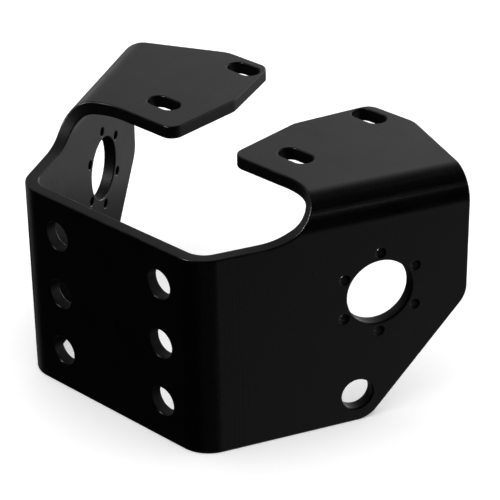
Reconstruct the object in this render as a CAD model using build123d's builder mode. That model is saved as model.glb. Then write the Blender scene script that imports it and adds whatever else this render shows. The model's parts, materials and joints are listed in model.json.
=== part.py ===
"""Pan and tilt camera mount: one plate, laser cut and folded on a press brake.

The front panel faces -Y and carries two columns of three bolt holes. A wing is
folded back from each side of it, and a slotted flange is folded inwards from the
top of each wing. Everything is in millimetres, +Z is up, and the origin is at the
middle of the part's footprint, on the plane of its lower edges.
"""
from build123d import *
import os
from math import asin, cos, degrees, pi, radians, sin, sqrt, tan

# Plate and folds
plate = 5.0                 # thickness of the plate
wing_splay = 25.0           # angle of each wing from straight back, degrees
wing_bend_inner = 8.0       # inner radius of the two upright folds
flange_bend_inner = 6.5     # inner radius of the two folds along the wings' tops
neutral_depth = 0.45        # neutral line's depth from the inner face, as a share of the plate
fold_squeeze = 1.2          # how far the fold pushes the plate's inner side out into the notch

# Overall sizes, measured on the outer faces
front_width = 89.0          # front panel, between the corners that the folds round off
front_height = 78.4
height = 92.0               # top faces of the flanges
wing_length = 103.4         # from the front corner to the rear edge, along the wing
overall_depth = 113.0       # front face to the rear edges of the flanges
flange_gap = 29.6           # between the two flanges at the front
corner_round = 5.0          # cut corners of the flanges
outer_corner_round = 10.0   # corner between a flange's rear edge and the edge over the wing

# Wing outline: its lower rear corner is cut away
cutaway_start = 65.5        # along the wing, on the lower edge
cutaway_top = 43.1          # height where the cut meets the rear edge
cutaway_round = 9.0

# Flange outline, with depths from the front face
flange_front_depth = 49.1   # flange's front edge
flange_side_depth = 82.5    # end of the inner edge that runs straight back
flange_rear_gap = 51.0      # between the flanges at their rear edges
notch_radius = 20.0         # flat blank's fillet, panel's top edge to flange's front edge
notch_sections = 11         # sections of the cutter that follows the notch round the fold
notch_margin = 1.0          # how far that cutter reaches past the plate

# Holes in the front panel
front_hole_d = 11.0
front_hole_spacing = 51.5
front_hole_pitch = 24.0
front_hole_lowest = 15.7

# Holes in each wing, with distances along the wing from its front corner
pivot_hole_d = 25.0
pivot_along = 68.8
pivot_height = 52.0
screw_circle_d = 31.6
screw_hole_d = 3.4
screw_count = 6
lower_hole_d = 12.0
lower_along = 60.7
lower_height = 11.2

# Slots in the flanges, long way across the part
slot_length = 14.3
slot_width = 8.0
front_slot_spacing = 66.0
front_slot_depth = 63.4
rear_slot_spacing = 63.2
rear_slot_depth = 105.3

# Worked out from the sizes above
front_y = -overall_depth / 2
splay = radians(wing_splay)
up = Vector(0, 0, 1)
along_wing = Vector(sin(splay), cos(splay), 0)
out_of_wing = Vector(cos(splay), -sin(splay), 0)
wing_bend_outer = wing_bend_inner + plate
wing_bend_run = wing_bend_outer * tan((pi / 2 - splay) / 2)   # corner to where the wing is flat
flange_bend_outer = flange_bend_inner + plate
flange_bend_start = height - flange_bend_outer                # height where the wing stops being flat
neutral_radius = flange_bend_inner + neutral_depth * plate
flat_bend_length = neutral_radius * pi / 2                    # the fold's length in the flat blank

# Flat blank: distance along the wing, and distance up the wing and round its fold.
# The flange starts at flange_bend_outer from the wing's outer face, so blank distances
# on it are this much more than distances from that face.
blank_offset = flange_bend_start + flat_bend_length - flange_bend_outer
notch_centre_up = front_height + notch_radius
notch_centre_in = notch_centre_up - blank_offset
notch_centre_along = (flange_front_depth - notch_radius - notch_centre_in * sin(splay)) / cos(splay)


def notch_along(blank_up):
    """Distance along the wing of the notch's edge, at a distance up the flat blank."""
    return notch_centre_along + sqrt(notch_radius ** 2 - (blank_up - notch_centre_up) ** 2)


def notch_angle(blank_up):
    """Angle on the notch's arc, in degrees, at a distance up the flat blank."""
    return degrees(asin((blank_up - notch_centre_up) / notch_radius))


def flange_point(x, depth):
    """A point of the right flange as distances along the wing and in from its outer face."""
    across = x - front_width / 2
    along = across * sin(splay) + depth * cos(splay)
    inward = depth * sin(splay) - across * cos(splay)
    return (along, inward)


front_plane = Plane(origin=(0, front_y, 0), x_dir=(1, 0, 0), z_dir=(0, -1, 0))
wing_plane = Plane(origin=(front_width / 2, front_y, 0), x_dir=along_wing, z_dir=out_of_wing)
flange_plane = Plane(origin=(front_width / 2, front_y, height), x_dir=along_wing, z_dir=(0, 0, 1))
fold_plane = Plane(
    origin=wing_plane.from_local_coords((notch_centre_along, 0, 0)),
    x_dir=-out_of_wing,
    z_dir=along_wing,
)
fold_axis = wing_plane.from_local_coords((0, flange_bend_start, -flange_bend_outer))

# Cutter that carries the notch round the wing's fold. Its sections all hold the fold's
# axis. The wall it leaves is square to the plate at both ends of the fold, and leans
# forward on the inner side between them, where the folding has squeezed the metal out.
with BuildPart() as fold_notch:
    for step in range(notch_sections):
        turn = pi / 2 * step / (notch_sections - 1)
        outward = out_of_wing * cos(turn) + up * sin(turn)
        edge_along = notch_along(flange_bend_start + neutral_radius * turn)
        lean = fold_squeeze * sin(2 * turn) / plate
        section = Plane(origin=fold_axis, x_dir=along_wing, z_dir=along_wing.cross(outward))
        with BuildSketch(section):
            with BuildLine():
                Polyline(
                    (notch_centre_along - notch_margin, flange_bend_inner - notch_margin),
                    (edge_along - lean * (plate + notch_margin), flange_bend_inner - notch_margin),
                    (edge_along + lean * notch_margin, flange_bend_outer + notch_margin),
                    (notch_centre_along - notch_margin, flange_bend_outer + notch_margin),
                    close=True,
                )
            make_face()
    loft()

with BuildPart() as bracket_plate:
    # Right half of the front panel
    with BuildSketch(front_plane):
        Rectangle(front_width / 2 - wing_bend_run, front_height, align=(Align.MIN, Align.MIN))
    extrude(amount=-plate)

    # Upright fold between the panel and the wing
    with BuildSketch(Plane.XY):
        with BuildLine():
            centre = (front_width / 2 - wing_bend_run, front_y + wing_bend_outer)
            outer = CenterArc(centre, wing_bend_outer, -90, 90 - wing_splay)
            inner = CenterArc(centre, wing_bend_inner, -90, 90 - wing_splay)
            Line(outer @ 0, inner @ 0)
            Line(outer @ 1, inner @ 1)
        make_face()
    extrude(amount=front_height)

    # Wing, up to the start of the fold along its top
    with BuildSketch(wing_plane) as wing_outline:
        with BuildLine():
            centre = (notch_centre_along, notch_centre_up)
            notch = CenterArc(centre, notch_radius, -90, notch_angle(flange_bend_start) + 90)
            Polyline(
                notch @ 0,
                (wing_bend_run, front_height),
                (wing_bend_run, 0),
                (cutaway_start, 0),
                (wing_length, cutaway_top),
                (wing_length, flange_bend_start),
                notch @ 1,
            )
        make_face()
        rear_corners = wing_outline.vertices().filter_by_position(Axis.X, cutaway_start, wing_length)
        fillet(rear_corners.sort_by(Axis.Y)[:2], cutaway_round)
    extrude(amount=-plate)

    # Fold along the wing's top, with the notch cut through its front end
    with BuildSketch(fold_plane):
        with BuildLine():
            centre = (flange_bend_outer, flange_bend_start)
            outer = CenterArc(centre, flange_bend_outer, 90, 90)
            inner = CenterArc(centre, flange_bend_inner, 90, 90)
            Line(outer @ 0, inner @ 0)
            Line(outer @ 1, inner @ 1)
        make_face()
    extrude(amount=wing_length - notch_centre_along)
    add(fold_notch.part, mode=Mode.SUBTRACT)

    # Flange, from the end of the fold to its cut outline
    with BuildSketch(flange_plane) as flange_outline:
        with BuildLine():
            start_angle = notch_angle(flange_bend_start + flat_bend_length)
            centre = (notch_centre_along, notch_centre_in)
            notch = CenterArc(centre, notch_radius, start_angle, wing_splay - start_angle)
            tip = flange_point(flange_gap / 2, flange_front_depth)
            inner_kink = flange_point(flange_gap / 2, flange_side_depth)
            inner_rear = flange_point(flange_rear_gap / 2, overall_depth)
            rear_in = (overall_depth - wing_length * cos(splay)) / sin(splay)
            outer_rear = (wing_length, rear_in)
            Polyline(
                notch @ 1,
                tip,
                inner_kink,
                inner_rear,
                outer_rear,
                (wing_length, flange_bend_outer),
                notch @ 0,
            )
        make_face()
        fillet(flange_outline.vertices().sort_by_distance(outer_rear)[0], outer_corner_round)
        for rounded in (tip, inner_kink, inner_rear):
            fillet(flange_outline.vertices().sort_by_distance(rounded)[0], corner_round)
    extrude(amount=-plate)

    # Slots in the flange
    with BuildSketch(Plane.XY.offset(height)):
        with Locations(
            (front_slot_spacing / 2, front_y + front_slot_depth),
            (rear_slot_spacing / 2, front_y + rear_slot_depth),
        ):
            SlotOverall(slot_length, slot_width)
    extrude(amount=-plate, mode=Mode.SUBTRACT)

    # Pivot hole with its ring of screw holes, and the lower hole
    with BuildSketch(wing_plane):
        with Locations((pivot_along, pivot_height)):
            Circle(pivot_hole_d / 2)
            with PolarLocations(screw_circle_d / 2, screw_count, start_angle=90):
                Circle(screw_hole_d / 2)
        with Locations((lower_along, lower_height)):
            Circle(lower_hole_d / 2)
    extrude(amount=-plate, mode=Mode.SUBTRACT)

    # The left half is the same, mirrored
    mirror(about=Plane.YZ)

    # Bolt holes in the front panel
    with BuildSketch(front_plane):
        with Locations((0, front_hole_lowest + front_hole_pitch)):
            with GridLocations(front_hole_spacing, front_hole_pitch, 2, 3):
                Circle(front_hole_d / 2)
    extrude(amount=-plate, mode=Mode.SUBTRACT)

os.makedirs("parts", exist_ok=True)
bracket_plate.part.label = "bracket_plate"
export_step(bracket_plate.part, "parts/bracket_plate.step")
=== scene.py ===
"""Pan and tilt camera mount, made the way the workshop makes it.

A flat blank is cut from plate, drilled and slotted, its rims are eased, and it is
folded four times: once along the top of each wing, then once at each side of the
front panel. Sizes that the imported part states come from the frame.
"""
import json
from math import atan2, cos, exp, pi, radians, sin, sqrt, tan

import bmesh
import bpy
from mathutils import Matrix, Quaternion, Vector


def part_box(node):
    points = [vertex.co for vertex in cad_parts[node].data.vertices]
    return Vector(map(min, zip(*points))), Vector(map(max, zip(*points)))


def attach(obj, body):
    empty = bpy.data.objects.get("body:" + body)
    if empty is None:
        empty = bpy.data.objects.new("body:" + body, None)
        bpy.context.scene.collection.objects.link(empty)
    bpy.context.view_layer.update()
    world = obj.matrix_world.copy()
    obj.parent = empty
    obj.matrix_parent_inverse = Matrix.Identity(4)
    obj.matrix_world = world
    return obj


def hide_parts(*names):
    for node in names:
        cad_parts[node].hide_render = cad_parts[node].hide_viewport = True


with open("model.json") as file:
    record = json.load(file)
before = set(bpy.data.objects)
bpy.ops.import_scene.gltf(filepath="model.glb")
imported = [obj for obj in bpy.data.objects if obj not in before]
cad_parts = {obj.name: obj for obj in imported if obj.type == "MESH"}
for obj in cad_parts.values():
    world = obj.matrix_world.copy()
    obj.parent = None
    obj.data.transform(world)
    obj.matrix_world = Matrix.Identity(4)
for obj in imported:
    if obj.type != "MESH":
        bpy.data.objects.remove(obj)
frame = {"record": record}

bl_info = {
    "name": "Pan Tilt Camera Mount",
    "version": (1, 0, 0),
    "blender": (4, 5, 0),
    "location": "3D View > Sidebar > Camera Mount",
    "description": "Cuts, folds and coats a sheet metal camera mount, and sets up a studio for it",
    "category": "Add Mesh",
}

MM = 0.001
TOUCH = 0.001 * MM          # points nearer than this are one point
NODE = "bracket_plate"
MOUNTS = {mount["name"]: mount for mount in frame["record"]["mounts"]}
LOW, HIGH = (Vector(corner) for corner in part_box(NODE))

FOLD_STEPS = 18             # flat strips that each fold is made of
CUT_MARGIN = 5 * MM         # how far rough shapes run on past the line where they are trimmed
EASED_BEND = 50             # degrees: edges sharper than this are eased
SMOOTH_BEND = 35            # degrees: edges flatter than this are shaded smooth

# The coat
RUBBED_AND_HIGHLIT = (0.012, 0.0118, 0.0115, 1)     # colour along the edges, where they are rubbed and where a highlight is painted
RUBBED_GLOSS = 0.08                     # how much less rough it is there
CLOUD_MATT = 0.16                       # spread of roughness between clouds
GRAIN_MATT = 0.025                      # spread of roughness between specks, each way
PRESSED_GLOSS = 0.07                    # how much less rough the press tool's lines are
TORN_MATT = 0.22                        # how much rougher the cut walls are

# The floor
FLOOR_PAINT = (0.85, 0.85, 0.85, 1)
FLOOR_GLOW = 0.35           # near the plate
FAR_FLOOR_GLOW = 0.85       # far out, where the overhead light fades
PAST_FLOOR = (0.95, 0.95, 0.95, 1)


def stated(mount, dim):
    """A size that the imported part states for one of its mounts, in metres."""
    return MOUNTS[mount]["dims"][dim] * MM


def stated_splay():
    """Angle of the wings from straight back, from the direction of the right pivot bore."""
    axis = MOUNTS["right_pivot_bore"]["axis"]
    return atan2(-axis[1], axis[0])


def distance(name, description, default):
    """A length that can be set in the sidebar."""
    return bpy.props.FloatProperty(
        name=name, description=description, default=default, min=0.0, unit="LENGTH", precision=5
    )


class PlateSizes(bpy.types.PropertyGroup):
    """Sizes of the plate, measured on its outer faces."""

    plate: distance("Plate", "Thickness of the plate", stated("right_pivot_bore", "length_mm"))
    front_width: distance("Front width", "Front panel, between its virtual corners", 89.0 * MM)
    front_height: distance("Front height", "Front panel, from its lower edge", 78.4 * MM)
    splay: bpy.props.FloatProperty(
        name="Splay",
        description="Angle of each wing from straight back",
        default=stated_splay(),
        subtype="ANGLE",
    )
    wing_fold: distance("Wing fold", "Inner radius of the upright folds", 8.0 * MM)
    flange_fold: distance("Flange fold", "Inner radius of the folds along the wings", 6.5 * MM)
    cut_start: distance("Cutaway start", "Start of the cutaway along the wing's lower edge", 65.5 * MM)
    cut_top: distance("Cutaway top", "Height of the cutaway at the wing's rear edge", 43.1 * MM)
    cut_round: distance("Cutaway rounding", "Radius of the cutaway's two corners", 9.0 * MM)
    flange_front: distance("Flange front", "Depth of the flange's front edge", 49.1 * MM)
    flange_side: distance("Flange side", "Depth where the flange's inner edge turns", 82.5 * MM)
    flange_gap: distance("Flange gap", "Between the flanges at the front", 29.6 * MM)
    rear_gap: distance("Rear gap", "Between the flanges at their rear edges", 51.0 * MM)
    corner_round: distance("Corner rounding", "Radius of the flanges' inner corners", 5.0 * MM)
    outer_round: distance("Outer rounding", "Radius of the flanges' outer rear corners", 10.0 * MM)
    notch_round: distance("Notch", "Radius of the notch in the flat blank", 20.0 * MM)
    squeeze: distance("Squeeze", "Metal pushed out into the notch on the fold's inner side", 1.2 * MM)
    rim: distance("Rim", "Rounding of all the cut edges under the coat", 0.6 * MM)


class CoatLook(bpy.types.PropertyGroup):
    """Black powder coat."""

    colour: bpy.props.FloatVectorProperty(
        name="Colour",
        description="Colour of the coat",
        default=(0.0007, 0.0007, 0.00075),
        subtype="COLOR",
        min=0.0,
        max=1.0,
    )
    roughness: bpy.props.FloatProperty(
        name="Roughness", description="How matt the coat is", default=0.31, min=0.0, max=1.0,
        subtype="FACTOR",
    )
    peel: distance("Peel", "Size of the coat's ripples", 1.4 * MM)
    grain: distance("Grain", "Size of the coat's finest specks", 0.3 * MM)
    cloud: distance("Clouds", "Size of the areas where the coat lies thicker or thinner", 14 * MM)
    # The lighter line along all edges is rubbed wear and painted highlight together
    wear_and_sheen: distance("Wear", "Width of the rubbed line along all edges", 0.7 * MM)


class StudioSetup(bpy.types.PropertyGroup):
    """Camera and lights."""

    azimuth: bpy.props.FloatProperty(
        name="Azimuth", description="Camera's turn to the right of the front",
        default=radians(43.28), subtype="ANGLE",
    )
    elevation: bpy.props.FloatProperty(
        name="Elevation", description="Camera's height above the horizon",
        default=radians(29.17), subtype="ANGLE",
    )
    roll: bpy.props.FloatProperty(
        name="Roll", description="Camera's turn about its own view", default=radians(-0.79),
        subtype="ANGLE",
    )
    reach: distance("Distance", "Camera to the point it looks at", 813.3 * MM)
    aim: bpy.props.FloatVectorProperty(
        name="Aim", description="Point that the camera looks at",
        default=(0.00738, 0.00965, 0.04286), subtype="TRANSLATION",
    )
    lens: bpy.props.FloatProperty(
        name="Lens", description="Focal length of the camera", default=156.6, min=1.0,
        unit="CAMERA",
    )
    light: bpy.props.FloatProperty(
        name="Light", description="Strength of all the lights together", default=1.0, min=0.0,
    )


class Folds:
    """Lengths of the flat blank, worked out from the sizes of the folded plate.

    A blank distance "along" runs outwards from the middle of the front panel, and "up"
    runs from the lower edges, over the folds and out along the flanges.
    """

    NEUTRAL = 0.45          # depth of the line that keeps its length, as a share of the plate

    def __init__(self, sizes):
        self.sizes = sizes
        self.plate = sizes.plate
        self.splay = sizes.splay
        self.height = HIGH.z - LOW.z
        self.depth = HIGH.y - LOW.y
        self.half_width = sizes.front_width / 2
        self.wing_length = ((HIGH.x - LOW.x) / 2 - self.half_width) / sin(self.splay)
        # Upright folds
        self.wing_turn = pi / 2 - self.splay
        self.wing_outer = sizes.wing_fold + self.plate
        self.wing_neutral = sizes.wing_fold + self.NEUTRAL * self.plate
        self.wing_run = self.wing_outer * tan(self.wing_turn / 2)
        self.wing_fold_start = self.half_width - self.wing_run
        self.wing_fold_end = self.wing_fold_start + self.wing_neutral * self.wing_turn
        self.wing_shift = self.wing_fold_end - self.wing_run
        # Folds along the wings
        self.flange_turn = pi / 2
        self.flange_outer = sizes.flange_fold + self.plate
        self.flange_neutral = sizes.flange_fold + self.NEUTRAL * self.plate
        self.flange_fold_start = self.height - self.flange_outer
        self.flange_fold_end = self.flange_fold_start + self.flange_neutral * self.flange_turn
        self.flange_shift = self.flange_fold_end - self.flange_outer
        # Corner of the notch before it is rounded, and the centre of its rounding
        self.notch_corner = self.on_flange_front(sizes.front_height)
        self.notch_centre_up = sizes.front_height + sizes.notch_round
        lean = sizes.notch_round / cos(self.splay)
        self.notch_centre = self.on_flange_front(self.notch_centre_up) - lean

    def on_wing(self, along, up):
        """A point of the wing, from its virtual front corner, on the blank."""
        return Vector((self.wing_shift + along, up, 0))

    def on_flange(self, x, depth):
        """A point of the right flange, from the middle and the front face, on the blank."""
        across = x - self.half_width
        along = across * sin(self.splay) + depth * cos(self.splay)
        inward = depth * sin(self.splay) - across * cos(self.splay)
        return Vector((self.wing_shift + along, self.flange_shift + inward, 0))

    def on_flange_front(self, up):
        """Distance along the blank of the flange's front edge, at a distance up."""
        inward = up - self.flange_shift
        return self.wing_shift + (self.sizes.flange_front - inward * sin(self.splay)) / cos(self.splay)

    def folded(self, point):
        """Where a point of the flat blank comes to lie on the folded plate."""
        side = -1 if point.x < 0 else 1
        along, up, inward = abs(point.x), point.y, -point.z
        along -= self.squeezed(along, up, inward)
        # Fold along the wing
        radius = self.flange_outer - inward
        if up <= self.flange_fold_start:
            height = up
        elif up <= self.flange_fold_end:
            turn = (up - self.flange_fold_start) / self.flange_neutral
            inward = self.flange_outer - radius * cos(turn)
            height = self.flange_fold_start + radius * sin(turn)
        else:
            height = self.height - inward
            inward = up - self.flange_shift
        # Upright fold
        radius = self.wing_outer - inward
        if along <= self.wing_fold_start:
            x, y = along, inward
        elif along <= self.wing_fold_end:
            turn = (along - self.wing_fold_start) / self.wing_neutral
            x = self.wing_fold_start + radius * sin(turn)
            y = self.wing_outer - radius * cos(turn)
        else:
            along -= self.wing_shift
            x = self.half_width + along * sin(self.splay) - inward * cos(self.splay)
            y = along * cos(self.splay) + inward * sin(self.splay)
        return Vector((side * x, LOW.y + y, LOW.z + height))

    def squeezed(self, along, up, inward):
        """How far the fold pushes a point of the inner side forward, into the notch."""
        if up < self.sizes.front_height * 0.7:
            return 0.0
        spread_up = 9.0 * MM
        spread_along = 7.0 * MM
        middle = (self.flange_fold_start + self.flange_fold_end) / 2
        rise = (up - middle) / spread_up
        off_centre = min(abs(up - self.notch_centre_up) / self.sizes.notch_round, 1.0)
        edge = self.notch_centre + self.sizes.notch_round * sqrt(1 - off_centre ** 2)
        back = max(along - edge, 0.0) / spread_along
        amount = self.sizes.squeeze * (inward / self.plate)
        return amount * exp(-rise ** 2 - back ** 2)


# ---- Hand tools ----


def deselect_all():
    """Leaves nothing selected, because tools act on all that is."""
    for item in bpy.context.selected_objects:
        item.select_set(False)


def only(piece):
    """Makes a piece the one that is selected and active."""
    deselect_all()
    piece.select_set(True)
    bpy.context.view_layer.objects.active = piece


def in_edit_mode(work):
    """Runs a hand tool in edit mode, on a piece given as its first argument."""

    def run(piece, *args, **kwargs):
        only(piece)
        bpy.ops.object.mode_set(mode="EDIT")
        work(piece, *args, **kwargs)
        bpy.ops.object.mode_set(mode="OBJECT")

    return run


@in_edit_mode
def cut_off(piece, start, end):
    """Cuts away all to the left of the line from start to end, and closes the cut."""
    run = end - start
    bpy.ops.mesh.select_all(action="SELECT")
    bpy.ops.mesh.bisect(
        plane_co=start,
        plane_no=(-run.y, run.x, 0),
        use_fill=True,
        clear_outer=True,
        threshold=TOUCH,
    )


@in_edit_mode
def score(piece, normal, offsets):
    """Cuts parallel lines right across the blank, so that it can bend there."""
    for offset in offsets:
        bpy.ops.mesh.select_all(action="SELECT")
        bpy.ops.mesh.bisect(plane_co=Vector(normal) * offset, plane_no=normal, threshold=TOUCH)


@in_edit_mode
def round_corner(piece, corner, radius, turn, segments):
    """Rounds the upright edge that stands at a corner where the outline turns."""
    near = 0.05 * MM
    bpy.ops.mesh.select_all(action="DESELECT")
    bpy.ops.mesh.select_mode(type="EDGE")
    mesh = bmesh.from_edit_mesh(piece.data)
    for edge in mesh.edges:
        edge.select = all((v.co.xy - corner.xy).length < near for v in edge.verts)
    if not any(edge.select for edge in mesh.edges):
        raise RuntimeError(f"{piece.name} has no upright edge at {corner}")
    mesh.select_flush(True)
    bmesh.update_edit_mesh(piece.data)
    bpy.ops.mesh.bevel(
        offset=radius * tan(turn / 2), segments=segments, affect="EDGES", clamp_overlap=False
    )


@in_edit_mode
def tidy(piece):
    """Merges doubled points and turns all faces outwards."""
    bpy.ops.mesh.select_all(action="SELECT")
    bpy.ops.mesh.remove_doubles(threshold=TOUCH)
    bpy.ops.mesh.normals_make_consistent(inside=False)


def apply(piece, kind, **settings):
    """Adds a modifier with its settings, and applies it."""
    only(piece)
    bpy.ops.object.modifier_add(type=kind)
    modifier = piece.modifiers[-1]
    for name, value in settings.items():
        setattr(modifier, name, value)
    bpy.ops.object.modifier_apply(modifier=modifier.name)


def block(name, low, high):
    """A rectangular block between two corners."""
    deselect_all()
    bpy.ops.mesh.primitive_cube_add(size=1, location=(low + high) / 2)
    piece = bpy.context.object
    piece.name = name
    piece.scale = high - low
    bpy.ops.object.transform_apply(location=True, rotation=True, scale=True)
    return piece


def drill(name, place, diameter, plate, vertices, length=None, angle=0.0):
    """A cutter through the plate: round, or drawn out to a slot of the given length."""
    deselect_all()
    bpy.ops.mesh.primitive_cylinder_add(vertices=vertices, radius=diameter / 2, depth=plate * 2)
    cutter = bpy.context.object
    cutter.name = name
    if length:
        stretch(cutter, length - diameter)
    cutter.rotation_euler.z = angle
    cutter.location = place + Vector((0, 0, -plate / 2))
    bpy.ops.object.transform_apply(location=True, rotation=True, scale=True)
    return cutter


@in_edit_mode
def stretch(piece, travel):
    """Splits a round cutter in half and moves its halves apart, to make a slot cutter."""
    bpy.ops.mesh.select_all(action="SELECT")
    bpy.ops.mesh.bisect(plane_co=(0, 0, 0), plane_no=(1, 0, 0), threshold=TOUCH)
    for side in (-1, 1):
        bpy.ops.mesh.select_all(action="DESELECT")
        mesh = bmesh.from_edit_mesh(piece.data)
        for vertex in mesh.verts:
            vertex.select = vertex.co.x * side > TOUCH
        mesh.select_flush(True)
        bmesh.update_edit_mesh(piece.data)
        bpy.ops.transform.translate(value=(side * travel / 2, 0, 0))


def remove_with(piece, cutters):
    """Cuts a piece with several cutters at once, and throws the cutters away."""
    deselect_all()
    for cutter in cutters:
        cutter.select_set(True)
    bpy.context.view_layer.objects.active = cutters[0]
    if len(cutters) > 1:
        bpy.ops.object.join()
    tool = bpy.context.view_layer.objects.active
    apply(piece, "BOOLEAN", object=tool, operation="DIFFERENCE", solver="EXACT")
    bpy.data.objects.remove(tool)


# ---- The plate ----


def cut_blank(folds):
    """Right half of the flat blank and a strip past its middle, with notch and round corners."""
    sizes = folds.sizes
    far_up = folds.on_flange(sizes.rear_gap / 2, folds.depth).y
    end_along = folds.wing_shift + folds.wing_length
    past_middle = Vector((-CUT_MARGIN, 0, -folds.plate))
    blank = block("folded_plate", past_middle, Vector((end_along, far_up, 0)))

    cut_start = folds.on_wing(sizes.cut_start, 0)
    cut_top = folds.on_wing(folds.wing_length, sizes.cut_top)
    tip = folds.on_flange(sizes.flange_gap / 2, sizes.flange_front)
    kink = folds.on_flange(sizes.flange_gap / 2, sizes.flange_side)
    inner_rear = folds.on_flange(sizes.rear_gap / 2, folds.depth)
    rear_in = (folds.depth - folds.wing_length * cos(folds.splay)) / sin(folds.splay)
    outer_rear = Vector((end_along, folds.flange_shift + rear_in, 0))

    cut_off(blank, cut_top, cut_start)
    cut_off(blank, tip, kink)
    cut_off(blank, kink, inner_rear)
    cut_off(blank, inner_rear, outer_rear)

    # The notch between the front panel's top edge and the flange's front edge
    corner = Vector((folds.notch_corner, sizes.front_height, 0))
    notch = block(
        "notch_cutter",
        Vector((-2 * CUT_MARGIN, sizes.front_height, -folds.plate - CUT_MARGIN)),
        Vector((folds.notch_corner, far_up + CUT_MARGIN, CUT_MARGIN)),
    )
    cut_off(notch, tip, corner)
    round_corner(notch, corner, sizes.notch_round, pi / 2 + folds.splay, 40)
    remove_with(blank, [notch])

    cut_slope = atan2(sizes.cut_top, folds.wing_length - sizes.cut_start)
    side_slope = (kink - inner_rear).xy.angle((tip - kink).xy)
    rear_turn = (inner_rear - kink).xy.angle((outer_rear - inner_rear).xy)
    round_corner(blank, cut_start, sizes.cut_round, cut_slope, 8)
    round_corner(blank, cut_top, sizes.cut_round, pi / 2 - cut_slope, 8)
    round_corner(blank, tip, sizes.corner_round, pi / 2, 12)
    round_corner(blank, kink, sizes.corner_round, side_slope, 4)
    round_corner(blank, inner_rear, sizes.corner_round, rear_turn, 12)
    round_corner(blank, outer_rear, sizes.outer_round, folds.splay, 6)
    return blank


def drill_blank(blank, folds):
    """Bolt holes, pivot hole with its ring of screw holes, lower hole and slots."""
    plate = folds.plate
    cutters = []
    front_along = stated("front_bolts", "spacing_x_mm") / 2
    front_pitch = stated("front_bolts", "spacing_y_mm") / 2
    front_up = MOUNTS["front_bolts"]["pos_m"][2] - LOW.z
    for row in (-1, 0, 1):
        place = Vector((front_along, front_up + row * front_pitch, 0))
        cutters.append(drill("bolt_hole", place, 2 * stated("front_bolts", "hole_r_mm"), plate, 64))

    pivot = wing_place(folds, "right_pivot_screws")
    cutters.append(drill("pivot_hole", pivot, 2 * stated("right_pivot_bore", "r_mm"), plate, 112))
    count = MOUNTS["right_pivot_screws"]["dims"]["count"]
    for number in range(count):
        turn = pi / 2 + number * 2 * pi / count
        ring = stated("right_pivot_screws", "pcd_mm") / 2
        place = pivot + Vector((ring * cos(turn), ring * sin(turn), 0))
        hole = 2 * stated("right_pivot_screws", "hole_r_mm")
        cutters.append(drill("screw_hole", place, hole, plate, 32))

    lower = wing_place(folds, "right_lower_bore")
    cutters.append(drill("lower_hole", lower, 2 * stated("right_lower_bore", "r_mm"), plate, 64))

    for name in ("flange_front_slots", "flange_rear_slots"):
        depth = MOUNTS[name]["pos_m"][1] - LOW.y
        place = folds.on_flange(stated(name, "spacing_x_mm") / 2, depth)
        cutters.append(
            drill(
                "slot",
                place,
                2 * stated(name, "hole_r_mm"),
                plate,
                48,
                length=stated(name, "slot_length_mm"),
                angle=folds.splay - pi / 2,
            )
        )
    remove_with(blank, cutters)


def wing_place(folds, mount):
    """A wing mount's place on the blank, from its place on the folded plate."""
    position = Vector(MOUNTS[mount]["pos_m"])
    across = position.x - folds.half_width
    depth = position.y - LOW.y
    along = across * sin(folds.splay) + depth * cos(folds.splay)
    return folds.on_wing(along, position.z - LOW.z)


def fold_lines(start, end):
    """Evenly spaced places from the start of a fold zone to its end."""
    return [start + (end - start) * step / FOLD_STEPS for step in range(FOLD_STEPS + 1)]


def fold_blank(blank, folds):
    """Scores the fold zones, eases the rims and folds the blank into the finished plate."""
    for side in (-1, 1):
        upright = fold_lines(folds.wing_fold_start, folds.wing_fold_end)
        score(blank, (1, 0, 0), [side * offset for offset in upright])
    score(blank, (0, 1, 0), fold_lines(folds.flange_fold_start, folds.flange_fold_end))
    tidy(blank)
    apply(
        blank,
        "BEVEL",
        width=folds.sizes.rim,
        segments=3,
        limit_method="ANGLE",
        angle_limit=radians(EASED_BEND),
        use_clamp_overlap=False,
    )
    cut = blank.data.attributes.new("cut", "FLOAT", "FACE")
    for face in blank.data.polygons:
        cut.data[face.index].value = 1.0 if abs(face.normal.z) < 0.2 else 0.0
    for vertex in blank.data.vertices:
        vertex.co = folds.folded(vertex.co)
    blank.data.update()


def add_node(tree, kind, sockets, **settings):
    """Adds a shader node. Each of its sockets takes a constant or another node's output."""
    node = tree.nodes.new("ShaderNode" + kind)
    for name, value in settings.items():
        setattr(node, name, value)
    for name, value in sockets.items():
        if isinstance(value, bpy.types.NodeSocket):
            tree.links.new(value, node.inputs[name])
        else:
            node.inputs[name].default_value = value
    return node


def ramp(tree, value, start, end, low=0.0, high=1.0):
    """A value that goes smoothly from low to high while another goes from start to end."""
    sockets = {"Value": value, "From Min": start, "From Max": end, "To Min": low, "To Max": high}
    return add_node(tree, "MapRange", sockets, interpolation_type="SMOOTHSTEP").outputs["Result"]


def maths(tree, operation, first, second):
    """A sum, product or other operation on two values."""
    return add_node(tree, "Math", {0: first, 1: second}, operation=operation).outputs["Value"]


def noise(tree, place, size, detail=2.0):
    """Noise between 0 and 1, with blobs of the given size, or sizes along X, Y and Z."""
    sizes = size if isinstance(size, tuple) else (size, size, size)
    scaled = add_node(
        tree, "VectorMath", {0: place, 1: tuple(1 / side for side in sizes)}, operation="MULTIPLY"
    )
    texture = add_node(tree, "TexNoise", {"Vector": scaled.outputs["Vector"], "Scale": 1.0})
    texture.inputs["Detail"].default_value = detail
    return texture.outputs["Fac"]


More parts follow.
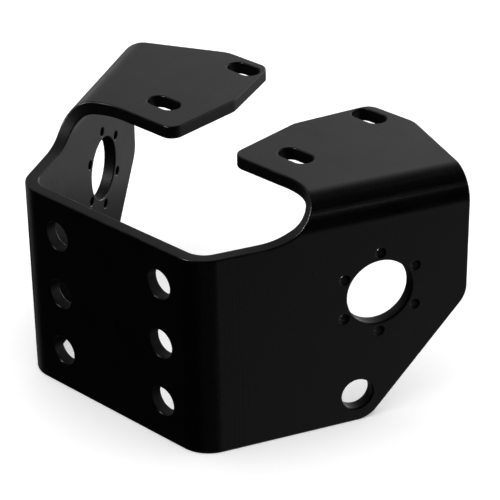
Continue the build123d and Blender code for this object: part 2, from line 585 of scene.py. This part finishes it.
def press_lines(tree, place, folds):
    """Faint lines that the press tool drew beside and in the folds.

    They are upright beside the upright folds, and level in the folds along the wings.
    """
    parts = add_node(tree, "SeparateXYZ", {"Vector": place})
    x, z = parts.outputs["X"], parts.outputs["Z"]
    off_middle = add_node(tree, "Math", {0: x}, operation="ABSOLUTE").outputs["Value"]
    near_fold = maths(
        tree,
        "MULTIPLY",
        ramp(tree, off_middle, folds.wing_fold_start, folds.half_width),
        ramp(tree, off_middle, folds.half_width + 5 * MM, folds.half_width + 15 * MM, 1.0, 0.0),
    )
    fold_start = folds.flange_fold_start
    below_flanges = ramp(tree, z, fold_start - 4 * MM, fold_start, 1.0, 0.0)
    near_fold = maths(tree, "MULTIPLY", near_fold, below_flanges)
    upright = noise(tree, place, (0.9 * MM, 0.9 * MM, 90 * MM))

    top = HIGH.z - 0.05 * MM
    in_fold = maths(
        tree,
        "MULTIPLY",
        ramp(tree, z, fold_start - 2 * MM, fold_start),
        ramp(tree, z, top - 1 * MM, top, 1.0, 0.0),
    )
    level = noise(tree, place, (90 * MM, 90 * MM, 0.8 * MM))
    return maths(
        tree,
        "ADD",
        maths(tree, "MULTIPLY", near_fold, upright),
        maths(tree, "MULTIPLY", in_fold, level),
    )


def rubbed_and_highlit_edges(tree, look, cloud, peel):
    """Where the surface, seen with its edges rounded off, faces another way: the rims that get the
    lighter tint of rubbed wear and painted highlight.
    """
    bare = add_node(tree, "NewGeometry", {}).outputs["Normal"]
    soft = add_node(tree, "Bevel", {"Radius": look.wear_and_sheen}, samples=6).outputs["Normal"]
    same = add_node(tree, "VectorMath", {0: bare, 1: soft}, operation="DOT_PRODUCT").outputs["Value"]
    edge = maths(tree, "MULTIPLY", ramp(tree, same, 0.995, 0.90), ramp(tree, cloud, 0.42, 0.62))
    return maths(tree, "MULTIPLY", edge, ramp(tree, peel, 0.35, 0.6))


def powder_coat(look, folds):
    """Black powder coat: satin, rippled and finely grained, rubbed along the edges, where a lighter
    tint is partly painted highlight.
    """
    coat = bpy.data.materials.new("black_powder_coat")
    coat.use_nodes = True
    tree = coat.node_tree
    shader = tree.nodes["Principled BSDF"]
    place = add_node(tree, "TexCoord", {}).outputs["Object"]
    cloud = noise(tree, place, look.cloud, 4.0)
    grain = noise(tree, place, look.grain)
    peel = noise(tree, place, look.peel, 3.0)
    lines = press_lines(tree, place, folds)
    # Edge mask for the rubbed wear and the painted highlight on the rims
    edge = rubbed_and_highlit_edges(tree, look, cloud, peel)

    # Walls that were cut through the plate are rougher than its rolled faces
    cut = add_node(tree, "Attribute", {}, attribute_name="cut").outputs["Fac"]
    torn = maths(tree, "MULTIPLY", cut, noise(tree, place, look.grain * 2, 3.0))

    # Lighter tint along the edges: rubbed wear, and painted highlight on the rims
    tint = add_node(tree, "Mix", {"Factor": edge, 6: (*look.colour, 1)}, data_type="RGBA")
    tint.inputs[7].default_value = RUBBED_AND_HIGHLIT
    tree.links.new(tint.outputs[2], shader.inputs["Base Color"])

    matt = maths(tree, "MULTIPLY_ADD", cloud, CLOUD_MATT)
    matt.node.inputs[2].default_value = look.roughness - CLOUD_MATT / 2
    matt = maths(tree, "ADD", matt, ramp(tree, grain, 0.3, 0.7, -GRAIN_MATT, GRAIN_MATT))
    matt = maths(tree, "ADD", matt, ramp(tree, lines, 0.2, 0.8, 0.0, -PRESSED_GLOSS))
    matt = maths(tree, "ADD", matt, maths(tree, "MULTIPLY", cut, TORN_MATT))
    matt = maths(tree, "SUBTRACT", matt, maths(tree, "MULTIPLY", edge, RUBBED_GLOSS))
    tree.links.new(matt, shader.inputs["Roughness"])

    # Height, its depth, and how strongly it shows
    reliefs = (
        (peel, 0.030 * MM, 0.40),
        (grain, 0.010 * MM, 0.35),
        (lines, 0.060 * MM, 0.50),
        (torn, 0.060 * MM, 0.50),
    )
    normal = None
    for height, depth, strength in reliefs:
        bump = add_node(tree, "Bump", {"Height": height, "Distance": depth, "Strength": strength})
        if normal:
            tree.links.new(normal, bump.inputs["Normal"])
        normal = bump.outputs["Normal"]
    tree.links.new(normal, shader.inputs["Normal"])
    return coat


# ---- Operators ----


class MOUNT_OT_folded_plate(bpy.types.Operator):
    """Cut, drill, fold and coat the mount's single plate"""

    bl_idname = "camera_mount.folded_plate"
    bl_label = "Folded Plate"
    bl_options = {"REGISTER", "UNDO"}

    def execute(self, context):
        folds = Folds(context.scene.mount_plate)
        blank = cut_blank(folds)
        drill_blank(blank, folds)
        across = (True, False, False)
        apply(blank, "MIRROR", use_axis=across, use_bisect_axis=across, merge_threshold=TOUCH)
        fold_blank(blank, folds)
        tidy(blank)
        only(blank)
        bpy.ops.object.shade_smooth_by_angle(angle=radians(SMOOTH_BEND))
        apply(blank, "WEIGHTED_NORMAL", keep_sharp=True, weight=100)
        blank.data.materials.clear()
        blank.data.materials.append(powder_coat(context.scene.mount_coat, folds))
        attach(blank, "root")
        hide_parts(NODE)
        return {"FINISHED"}


class MOUNT_OT_studio(bpy.types.Operator):
    """Set up the floor, the soft lights and the camera"""

    bl_idname = "camera_mount.studio"
    bl_label = "Studio"
    bl_options = {"REGISTER", "UNDO"}

    def execute(self, context):
        setup = context.scene.mount_studio
        add_floor()
        add_lights(setup)
        add_camera(setup)
        return {"FINISHED"}


def add_floor():
    """A wide pale floor that the plate stands on."""
    deselect_all()
    bpy.ops.mesh.primitive_plane_add(size=8, location=(0, 0, LOW.z))
    floor = bpy.context.object
    floor.name = "floor"
    bpy.ops.object.transform_apply(location=True, rotation=True, scale=True)
    paint = bpy.data.materials.new("pale_floor")
    paint.use_nodes = True
    tree = paint.node_tree
    shader = tree.nodes["Principled BSDF"]
    shader.inputs["Base Color"].default_value = FLOOR_PAINT
    shader.inputs["Roughness"].default_value = 0.9
    shader.inputs["Emission Color"].default_value = (1, 1, 1, 1)
    # The overhead light fades far out, so the floor's own glow makes up for it there
    place = add_node(tree, "TexCoord", {}).outputs["Object"]
    from_plate = add_node(tree, "VectorMath", {0: place}, operation="LENGTH").outputs["Value"]
    glow = ramp(tree, from_plate, 0.8, 3.0, FLOOR_GLOW, FAR_FLOOR_GLOW)
    tree.links.new(glow, shader.inputs["Emission Strength"])
    floor.data.materials.append(paint)
    floor.visible_glossy = False


def add_lights(setup):
    """A broad light overhead for the floor, lamps that only gleam in the coat, and the room."""
    overhead = add_light("overhead", (0, 0, 1), 2.0, 3.2, 62 * setup.light)
    overhead.visible_glossy = False
    lamps = (
        ("lamp_in_front", (-0.30, -0.53, 0.79), 7.0),
        ("lamp_at_right", (0.80, 0.00, 0.60), 0.12),
        ("lamp_behind", (-0.15, 0.98, 0.04), 2.0),
    )
    for name, towards, power in lamps:
        lamp = add_light(name, towards, 1.5, 0.2, power * setup.light)
        lamp.visible_diffuse = False
    # A card of painted shade, seen only in the coat's reflections
    add_painted_shade_card()
    add_surroundings(setup)


def add_light(name, towards, distance, size, power):
    """A round lamp that stands off in a direction and shines at the plate."""
    direction = Vector(towards).normalized()
    deselect_all()
    bpy.ops.object.light_add(type="AREA", location=direction * distance)
    lamp = bpy.context.object
    lamp.name = name
    lamp.rotation_mode = "QUATERNION"
    lamp.rotation_quaternion = direction.to_track_quat("Z", "Y")
    lamp.data.shape = "DISK"
    lamp.data.size = size
    lamp.data.energy = power
    return lamp


def add_painted_shade_card():
    """A card on the floor behind the left wing, seen only as a dark reflection in it: painted shade
    that stands in for the plate's shadow on the floor next to it.
    """
    deselect_all()
    bpy.ops.mesh.primitive_plane_add(size=1, location=(-0.06, 0.02, LOW.z + 0.1 * MM))
    card = bpy.context.object
    card.name = "painted_shade_card"
    card.scale = (0.20, 0.14, 1)
    bpy.ops.object.transform_apply(location=True, rotation=True, scale=True)
    paper = bpy.data.materials.new("painted_shade_card")
    paper.use_nodes = True
    tree = paper.node_tree
    shader = tree.nodes["Principled BSDF"]
    shader.inputs["Roughness"].default_value = 1.0
    place = add_node(tree, "TexCoord", {}).outputs["Object"]
    parts = add_node(tree, "SeparateXYZ", {"Vector": place})
    # Painted shade: black at the front, paling to grey towards the rear
    tree.links.new(ramp(tree, parts.outputs["Y"], 0.01, 0.09, 0.0, 0.16), shader.inputs["Base Color"])
    card.data.materials.append(paper)
    for ray in ("visible_camera", "visible_diffuse", "visible_shadow", "visible_transmission"):
        setattr(card, ray, False)


def add_surroundings(setup):
    """The room that the coat reflects.

    It has a pale wall behind, dimmer walls and floor at the left, and a floor that is
    dim behind and at the right. It is dark overhead, in front, and at the right above
    the floor.
    """
    world = bpy.data.worlds.new("studio")
    bpy.context.scene.world = world
    world.use_nodes = True
    tree = world.node_tree
    direction = add_node(tree, "TexCoord", {}).outputs["Generated"]
    parts = add_node(tree, "SeparateXYZ", {"Vector": direction})
    x, y, z = (parts.outputs[axis] for axis in "XYZ")
    right = maths(tree, "MULTIPLY", ramp(tree, x, 0.1, 0.5), ramp(tree, y, 0.3, 0.6, 1.0, 0.0))
    wall = add_node(tree, "MapRange", {"Value": y, "From Min": -0.5, "From Max": 0.7, "To Max": 0.55})
    shades = (
        ramp(tree, x, -0.8, -0.4, 0.55, 1.2),
        maths(tree, "SUBTRACT", 1.0, right),
        ramp(tree, z, 0.5, 0.85, 1.0, 0.08),
        ramp(tree, z, 0.1, 0.45, 1.5, 1.0),
        ramp(tree, z, -0.3, 0.1, 0.35, 1.0),
    )
    behind = wall.outputs["Result"]
    for shade in shades:
        behind = maths(tree, "MULTIPLY", behind, shade)
    low = ramp(tree, z, -0.42, -0.25, 1.0, 0.0)
    at_right = maths(tree, "MULTIPLY", right, ramp(tree, y, -0.3, 0.3, 0.03, 0.34))
    at_right = maths(tree, "MULTIPLY", at_right, low)
    at_left = maths(tree, "MULTIPLY", ramp(tree, x, -0.8, -0.95, 0.0, 0.25), ramp(tree, y, -0.4, 0.0))
    light = maths(tree, "ADD", maths(tree, "ADD", behind, at_right), at_left)
    room = tree.nodes["Background"]
    room.inputs["Strength"].default_value = setup.light
    tree.links.new(light, room.inputs["Color"])
    # What is seen directly past the floor's edge is as pale as the floor
    seen = add_node(tree, "Background", {"Color": PAST_FLOOR})
    path = add_node(tree, "LightPath", {})
    sockets = {
        "Fac": path.outputs["Is Camera Ray"],
        1: room.outputs["Background"],
        2: seen.outputs["Background"],
    }
    choice = add_node(tree, "MixShader", sockets)
    tree.links.new(choice.outputs["Shader"], tree.nodes["World Output"].inputs["Surface"])


def add_camera(setup):
    """The camera, placed by its angles round the point it looks at."""
    back = Vector((
        sin(setup.azimuth) * cos(setup.elevation),
        -cos(setup.azimuth) * cos(setup.elevation),
        sin(setup.elevation),
    ))
    place = Vector(setup.aim) + back * setup.reach
    deselect_all()
    bpy.ops.object.camera_add(location=place)
    camera = bpy.context.object
    camera.name = "camera"
    camera.rotation_mode = "QUATERNION"
    camera.rotation_quaternion = back.to_track_quat("Z", "Y") @ Quaternion((0, 0, 1), setup.roll)
    camera.data.lens = setup.lens
    bpy.context.scene.camera = camera


class MOUNT_PT_sidebar(bpy.types.Panel):
    """Sizes, finish and studio of the camera mount"""

    bl_idname = "MOUNT_PT_sidebar"
    bl_label = "Camera Mount"
    bl_space_type = "VIEW_3D"
    bl_region_type = "UI"
    bl_category = "Camera Mount"

    def draw(self, context):
        for owner, operator in (
            (context.scene.mount_plate, MOUNT_OT_folded_plate),
            (context.scene.mount_coat, None),
            (context.scene.mount_studio, MOUNT_OT_studio),
        ):
            box = self.layout.box()
            for name in owner.__annotations__:
                box.prop(owner, name)
            if operator:
                box.operator(operator.bl_idname)


CLASSES = (
    PlateSizes,
    CoatLook,
    StudioSetup,
    MOUNT_OT_folded_plate,
    MOUNT_OT_studio,
    MOUNT_PT_sidebar,
)


def register():
    """Registers the classes and gives the scene their settings."""
    for item in CLASSES:
        bpy.utils.register_class(item)
    bpy.types.Scene.mount_plate = bpy.props.PointerProperty(type=PlateSizes)
    bpy.types.Scene.mount_coat = bpy.props.PointerProperty(type=CoatLook)
    bpy.types.Scene.mount_studio = bpy.props.PointerProperty(type=StudioSetup)


def unregister():
    """Takes the settings and the classes away again."""
    del bpy.types.Scene.mount_studio
    del bpy.types.Scene.mount_coat
    del bpy.types.Scene.mount_plate
    for item in reversed(CLASSES):
        bpy.utils.unregister_class(item)


def main():
    """Makes the plate and its studio."""
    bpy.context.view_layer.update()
    register()
    bpy.context.scene.view_settings.view_transform = "Standard"
    bpy.ops.camera_mount.folded_plate()
    bpy.ops.camera_mount.studio()


if __name__ == "__main__":
    main()
